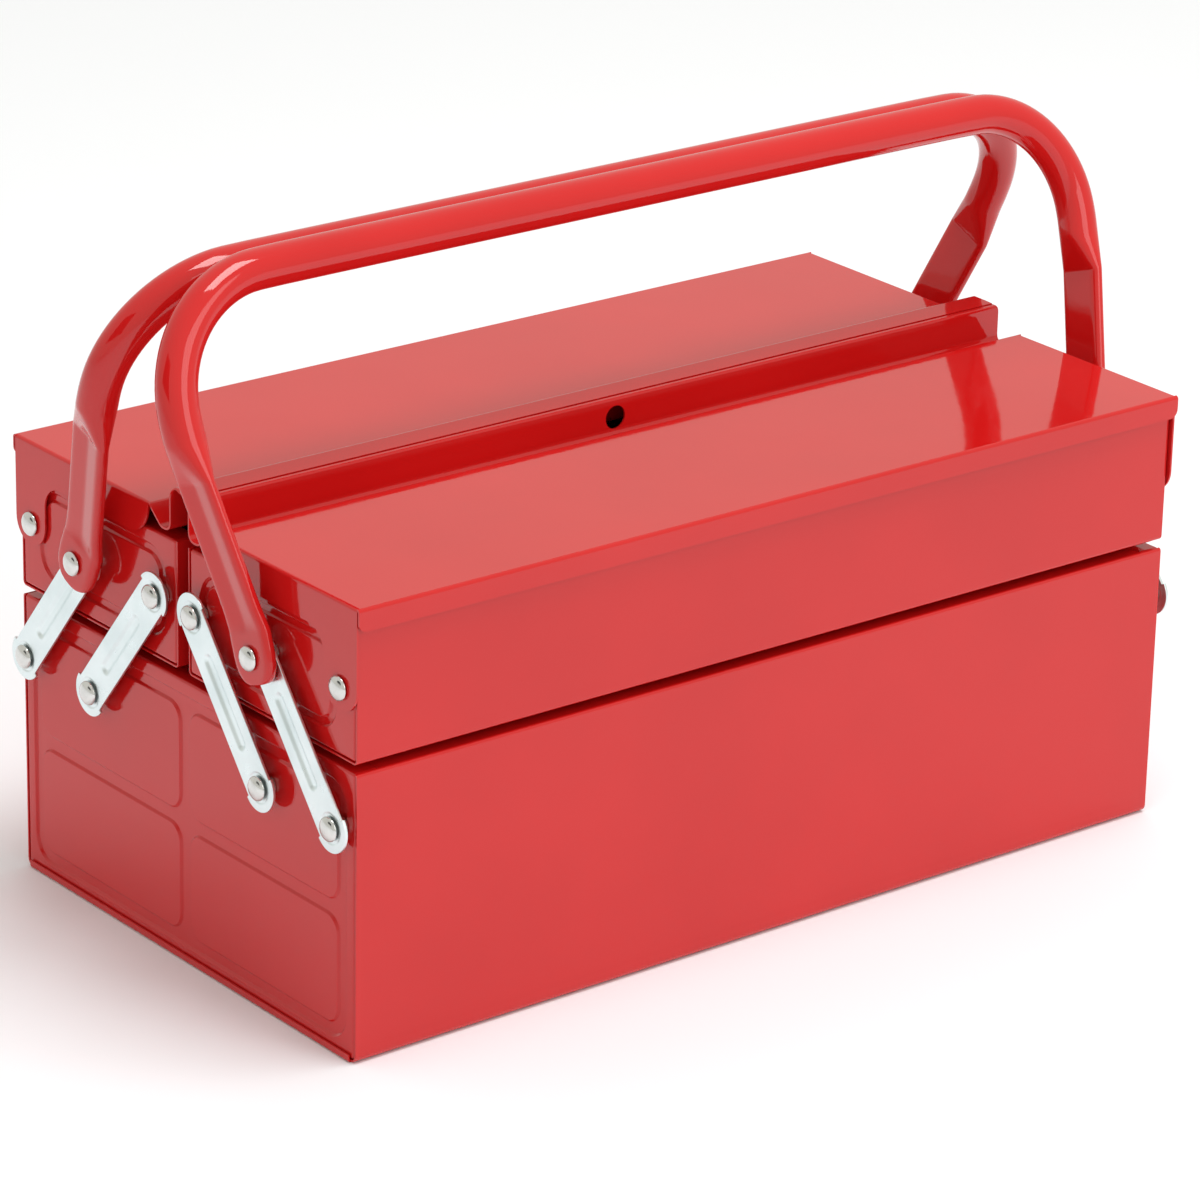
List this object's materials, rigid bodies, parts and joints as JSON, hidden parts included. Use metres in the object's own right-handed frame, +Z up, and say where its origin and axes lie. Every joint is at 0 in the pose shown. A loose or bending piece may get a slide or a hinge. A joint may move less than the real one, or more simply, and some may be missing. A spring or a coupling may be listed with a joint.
{
  "type": "cantilever toolbox",
  "caption": "Folded sheet-steel toolbox whose two lidded trays swing out sideways on links above a deep base, with two tube handles.",
  "frame": {"origin": "middle of the underside", "axes": "+X along the box, +Y to the rear, +Z up"},
  "size_m": [0.4566, 0.228, 0.2859],
  "materials": {
    "red_paint": "gloss",
    "zinc_plating": "satin",
    "bright_steel": "polished"
  },
  "bodies": {
    "base": {"base_wrapper": "red_paint", "base_end_left": "red_paint", "base_end_right": "red_paint", "front_outer_base_rivet_left": "bright_steel", "front_inner_base_rivet_left": "bright_steel", "front_outer_base_rivet_right": "bright_steel", "front_inner_base_rivet_right": "bright_steel", "rear_outer_base_rivet_left": "bright_steel", "rear_inner_base_rivet_left": "bright_steel", "rear_outer_base_rivet_right": "bright_steel", "rear_inner_base_rivet_right": "bright_steel"},
    "front_outer_links": {"front_outer_link_left": "zinc_plating", "front_outer_link_right": "zinc_plating"},
    "front_inner_links": {"front_inner_link_left": "zinc_plating", "front_inner_link_right": "zinc_plating"},
    "front_tray": {"front_tray_wrapper": "red_paint", "front_tray_end_left": "red_paint", "front_tray_end_right": "red_paint", "front_handle_rivet_left": "bright_steel", "front_handle_rivet_right": "bright_steel", "front_inner_tray_rivet_left": "bright_steel", "front_inner_tray_rivet_right": "bright_steel", "front_lid_rivet_left": "bright_steel", "front_lid_rivet_right": "bright_steel"},
    "front_lid": {"front_lid": "red_paint"},
    "front_handle": {"front_handle": "red_paint"},
    "rear_outer_links": {"rear_outer_link_left": "zinc_plating", "rear_outer_link_right": "zinc_plating"},
    "rear_inner_links": {"rear_inner_link_left": "zinc_plating", "rear_inner_link_right": "zinc_plating"},
    "rear_tray": {"rear_tray_wrapper": "red_paint", "rear_tray_end_left": "red_paint", "rear_tray_end_right": "red_paint", "rear_handle_rivet_left": "bright_steel", "rear_handle_rivet_right": "bright_steel", "rear_inner_tray_rivet_left": "bright_steel", "rear_inner_tray_rivet_right": "bright_steel", "rear_lid_rivet_left": "bright_steel", "rear_lid_rivet_right": "bright_steel"},
    "rear_lid": {"rear_lid": "red_paint"},
    "rear_handle": {"rear_handle": "red_paint"}
  },
  "joints": [
    {"name": "front_fold", "type": "hinge", "parent": "base", "child": "front_outer_links", "pos_m": [0, -0.102, 0.0933], "axis": [1, 0, 0], "range_deg": [0, 80]},
    {"name": "front_inner_link_turn", "type": "hinge", "parent": "base", "child": "front_inner_links", "pos_m": [0, -0.0565, 0.0933], "axis": [1, 0, 0], "range_deg": [0, 80]},
    {"name": "front_tray_level", "type": "hinge", "parent": "front_outer_links", "child": "front_tray", "pos_m": [0, -0.0586, 0.147], "axis": [1, 0, 0], "range_deg": [-80, 0]},
    {"name": "front_lid_open", "type": "hinge", "parent": "front_tray", "child": "front_lid", "pos_m": [0, -0.102, 0.1478], "axis": [1, 0, 0], "range_deg": [0, 125]},
    {"name": "front_handle_swing", "type": "hinge", "parent": "front_tray", "child": "front_handle", "pos_m": [0, -0.0586, 0.147], "axis": [1, 0, 0], "range_deg": [0, 165]},
    {"name": "rear_fold", "type": "hinge", "parent": "base", "child": "rear_outer_links", "pos_m": [0, 0.102, 0.0933], "axis": [-1, 0, 0], "range_deg": [0, 80]},
    {"name": "rear_inner_link_turn", "type": "hinge", "parent": "base", "child": "rear_inner_links", "pos_m": [0, 0.0565, 0.0933], "axis": [-1, 0, 0], "range_deg": [0, 80]},
    {"name": "rear_tray_level", "type": "hinge", "parent": "rear_outer_links", "child": "rear_tray", "pos_m": [0, 0.0586, 0.147], "axis": [-1, 0, 0], "range_deg": [-80, 0]},
    {"name": "rear_lid_open", "type": "hinge", "parent": "rear_tray", "child": "rear_lid", "pos_m": [0, 0.102, 0.1478], "axis": [-1, 0, 0], "range_deg": [0, 125]},
    {"name": "rear_handle_swing", "type": "hinge", "parent": "rear_tray", "child": "rear_handle", "pos_m": [0, 0.0586, 0.147], "axis": [-1, 0, 0], "range_deg": [0, 165]}
  ],
  "couplings": [
    {"joint": "front_inner_link_turn", "follows": "front_fold", "ratio": 1},
    {"joint": "front_tray_level", "follows": "front_fold", "ratio": -1},
    {"joint": "rear_inner_link_turn", "follows": "rear_fold", "ratio": 1},
    {"joint": "rear_tray_level", "follows": "rear_fold", "ratio": -1}
  ]
}
